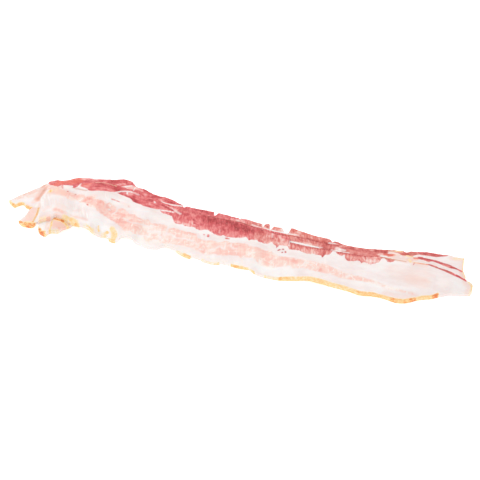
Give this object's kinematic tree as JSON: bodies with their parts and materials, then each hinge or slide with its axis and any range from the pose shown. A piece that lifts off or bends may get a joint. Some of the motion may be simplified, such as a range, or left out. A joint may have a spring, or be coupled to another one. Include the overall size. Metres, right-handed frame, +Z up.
{
  "type": "sliced bacon",
  "caption": "Shingled stack of raw smoked streaky bacon rashers, ruffled at one end, lying flat on a table as an ingredient.",
  "frame": {"origin": "middle of the stack's footprint, on the surface it lies on", "axes": "+X along the rashers towards their straight ends, +Y from the rind edges to the lean edges, +Z up"},
  "size_m": [0.3077, 0.0791, 0.0129],
  "materials": {
    "raw_bacon": "raw cured pork, moist: bands of cream fat and of pink to dark red lean, with an amber smoked rind along one edge"
  },
  "bodies": {
    "root": {"rasher_back": "raw_bacon", "rasher_middle": "raw_bacon", "rasher_front": "raw_bacon"}
  },
  "joints": []
}
